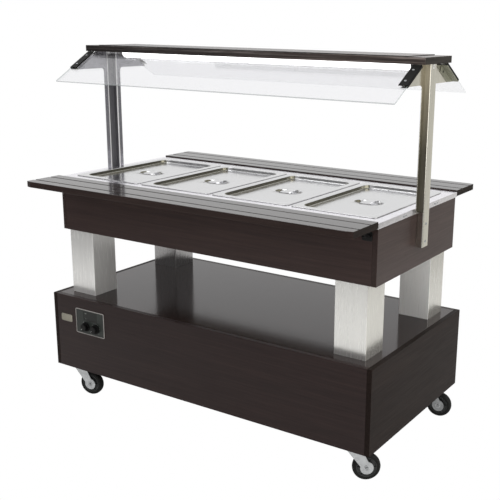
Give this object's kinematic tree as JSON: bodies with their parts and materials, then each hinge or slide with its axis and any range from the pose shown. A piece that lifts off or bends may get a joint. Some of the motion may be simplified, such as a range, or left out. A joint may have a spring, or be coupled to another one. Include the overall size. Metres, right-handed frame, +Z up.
{
  "type": "steam table unit",
  "caption": "Mobile heated buffet bar: lidded food wells in a steel top, dark wood casing on square steel legs, lower cabinet on castors, folding tray slides and a lit canopy with glass guards.",
  "frame": {"origin": "on the floor under the centre of the unit", "axes": "+X along the length, to the right seen from the side with the controls; +Y to the back; +Z up"},
  "size_m": [1.482, 0.964, 1.403],
  "materials": {
    "wood": "dark laminate, satin",
    "steel": "brushed",
    "pan_steel": "satin",
    "zinc": "zinc plated",
    "black_metal": "satin black",
    "black_plastic": "matt",
    "grey_panel": "satin",
    "rubber": "matt",
    "glass": "clear",
    "opal": "lit opal diffuser",
    "brass": "plain",
    "element": "oxidised"
  },
  "bodies": {
    "frame": {"base_front_panel": "wood", "base_back_panel": "wood", "base_left_panel": "wood", "base_right_panel": "wood", "base_top_panel": "wood", "base_bottom_panel": "wood", "casing_front_panel": "wood", "casing_back_panel": "wood", "casing_left_panel": "wood", "casing_right_panel": "wood", "casing_bottom_panel": "wood", "leg_front_left": "steel", "leg_front_right": "steel", "leg_back_left": "steel", "leg_back_right": "steel", "well_tank": "steel", "heating_element": "element", "drain_valve": "brass", "control_plate": "grey_panel", "post_left": "steel", "post_right": "steel", "canopy_shelf": "wood", "canopy_lamp": "opal", "glass_front": "glass", "glass_back": "glass", "glass_clamp_front_left": "black_metal", "glass_clamp_front_right": "black_metal", "glass_clamp_back_left": "black_metal", "glass_clamp_back_right": "black_metal", "castor_plate_front_left": "zinc", "castor_plate_front_right": "zinc", "castor_plate_back_left": "zinc", "castor_plate_back_right": "zinc"},
    "tray_front": {"tray_slide_front": "wood"},
    "stay_front_left": {"tray_stay_front_left": "black_metal"},
    "stay_front_right": {"tray_stay_front_right": "black_metal"},
    "tray_back": {"tray_slide_back": "wood"},
    "stay_back_left": {"tray_stay_back_left": "black_metal"},
    "stay_back_right": {"tray_stay_back_right": "black_metal"},
    "pan_1": {"pan_1": "pan_steel"},
    "lid_1": {"lid_1": "pan_steel"},
    "pan_2": {"pan_2": "pan_steel"},
    "lid_2": {"lid_2": "pan_steel"},
    "pan_3": {"pan_3": "pan_steel"},
    "lid_3": {"lid_3": "pan_steel"},
    "pan_4": {"pan_4": "pan_steel"},
    "lid_4": {"lid_4": "pan_steel"},
    "thermostat": {"thermostat_knob": "black_plastic"},
    "switch": {"switch_knob": "black_plastic"},
    "drain_lever": {"drain_lever": "black_metal"},
    "fork_front_left": {"castor_fork_front_left": "zinc"},
    "wheel_front_left": {"castor_wheel_front_left": "rubber"},
    "brake_front_left": {"castor_brake_front_left": "black_metal"},
    "fork_front_right": {"castor_fork_front_right": "zinc"},
    "wheel_front_right": {"castor_wheel_front_right": "rubber"},
    "fork_back_left": {"castor_fork_back_left": "zinc"},
    "wheel_back_left": {"castor_wheel_back_left": "rubber"},
    "brake_back_left": {"castor_brake_back_left": "black_metal"},
    "fork_back_right": {"castor_fork_back_right": "zinc"},
    "wheel_back_right": {"castor_wheel_back_right": "rubber"}
  },
  "joints": [
    {"name": "tray_fold_front", "type": "hinge", "parent": "frame", "child": "tray_front", "pos_m": [0, -0.3225, 0.8855], "axis": [1, 0, 0], "range_deg": [0, 90]},
    {"name": "stay_fold_front_left", "type": "hinge", "parent": "frame", "child": "stay_front_left", "pos_m": [-0.664, -0.3165, 0.858], "axis": [1, 0, 0], "range_deg": [0, 114.11]},
    {"name": "stay_fold_front_right", "type": "hinge", "parent": "frame", "child": "stay_front_right", "pos_m": [0.664, -0.3165, 0.858], "axis": [1, 0, 0], "range_deg": [0, 114.11]},
    {"name": "tray_fold_back", "type": "hinge", "parent": "frame", "child": "tray_back", "pos_m": [0, 0.3225, 0.8855], "axis": [-1, 0, 0], "range_deg": [0, 90]},
    {"name": "stay_fold_back_left", "type": "hinge", "parent": "frame", "child": "stay_back_left", "pos_m": [-0.664, 0.3165, 0.858], "axis": [-1, 0, 0], "range_deg": [0, 114.11]},
    {"name": "stay_fold_back_right", "type": "hinge", "parent": "frame", "child": "stay_back_right", "pos_m": [0.664, 0.3165, 0.858], "axis": [-1, 0, 0], "range_deg": [0, 114.11]},
    {"name": "pan_lift_1", "type": "slide", "parent": "frame", "child": "pan_1", "axis": [0, 0, 1], "range_m": [0, 0.17]},
    {"name": "lid_lift_1", "type": "slide", "parent": "pan_1", "child": "lid_1", "axis": [0, 0, 1], "range_m": [0, 0.15]},
    {"name": "pan_lift_2", "type": "slide", "parent": "frame", "child": "pan_2", "axis": [0, 0, 1], "range_m": [0, 0.17]},
    {"name": "lid_lift_2", "type": "slide", "parent": "pan_2", "child": "lid_2", "axis": [0, 0, 1], "range_m": [0, 0.15]},
    {"name": "pan_lift_3", "type": "slide", "parent": "frame", "child": "pan_3", "axis": [0, 0, 1], "range_m": [0, 0.17]},
    {"name": "lid_lift_3", "type": "slide", "parent": "pan_3", "child": "lid_3", "axis": [0, 0, 1], "range_m": [0, 0.15]},
    {"name": "pan_lift_4", "type": "slide", "parent": "frame", "child": "pan_4", "axis": [0, 0, 1], "range_m": [0, 0.17]},
    {"name": "lid_lift_4", "type": "slide", "parent": "pan_4", "child": "lid_4", "axis": [0, 0, 1], "range_m": [0, 0.15]},
    {"name": "thermostat_turn", "type": "hinge", "parent": "frame", "child": "thermostat", "pos_m": [-0.495, -0.3668, 0.324], "axis": [0, 1, 0], "range_deg": [0, 270]},
    {"name": "switch_turn", "type": "hinge", "parent": "frame", "child": "switch", "pos_m": [-0.5475, -0.3668, 0.324], "axis": [0, 1, 0], "range_deg": [0, 90]},
    {"name": "drain_lever_turn", "type": "hinge", "parent": "frame", "child": "drain_lever", "pos_m": [0, -0.0228, 0.662], "axis": [0, 1, 0], "range_deg": [0, 90]},
    {"name": "castor_swivel_front_left", "type": "hinge", "parent": "frame", "child": "fork_front_left", "pos_m": [-0.641, -0.308, 0.118], "axis": [0, 0, 1], "continuous": true},
    {"name": "wheel_spin_front_left", "type": "hinge", "parent": "fork_front_left", "child": "wheel_front_left", "pos_m": [-0.60025, -0.29784, 0.049], "axis": [-0.2419, 0.9703, 0], "continuous": true},
    {"name": "brake_press_front_left", "type": "hinge", "parent": "fork_front_left", "child": "brake_front_left", "pos_m": [-0.61189, -0.30074, 0.1068], "axis": [-0.2419, 0.9703, 0], "range_deg": [0, 10], "stiffness_Nm_per_rad": 2},
    {"name": "castor_swivel_front_right", "type": "hinge", "parent": "frame", "child": "fork_front_right", "pos_m": [0.641, -0.308, 0.118], "axis": [0, 0, 1], "continuous": true},
    {"name": "wheel_spin_front_right", "type": "hinge", "parent": "fork_front_right", "child": "wheel_front_right", "pos_m": [0.67498, -0.28331, 0.049], "axis": [-0.5878, 0.809, 0], "continuous": true},
    {"name": "castor_swivel_back_left", "type": "hinge", "parent": "frame", "child": "fork_back_left", "pos_m": [-0.641, 0.308, 0.118], "axis": [0, 0, 1], "continuous": true},
    {"name": "wheel_spin_back_left", "type": "hinge", "parent": "fork_back_left", "child": "wheel_back_left", "pos_m": [-0.60263, 0.32508, 0.049], "axis": [-0.4067, 0.9135, 0], "continuous": true},
    {"name": "brake_press_back_left", "type": "hinge", "parent": "fork_back_left", "child": "brake_back_left", "pos_m": [-0.61359, 0.3202, 0.1068], "axis": [-0.4067, 0.9135, 0], "range_deg": [0, 10], "stiffness_Nm_per_rad": 2},
    {"name": "castor_swivel_back_right", "type": "hinge", "parent": "frame", "child": "fork_back_right", "pos_m": [0.641, 0.308, 0.118], "axis": [0, 0, 1], "continuous": true},
    {"name": "wheel_spin_back_right", "type": "hinge", "parent": "fork_back_right", "child": "wheel_back_right", "pos_m": [0.68259, 0.31384, 0.049], "axis": [-0.1392, 0.9903, 0], "continuous": true}
  ],
  "couplings": [
    {"joint": "stay_fold_front_left", "follows": "tray_fold_front", "ratio": 1.2678},
    {"joint": "stay_fold_front_right", "follows": "tray_fold_front", "ratio": 1.2678},
    {"joint": "stay_fold_back_left", "follows": "tray_fold_back", "ratio": 1.2678},
    {"joint": "stay_fold_back_right", "follows": "tray_fold_back", "ratio": 1.2678}
  ]
}
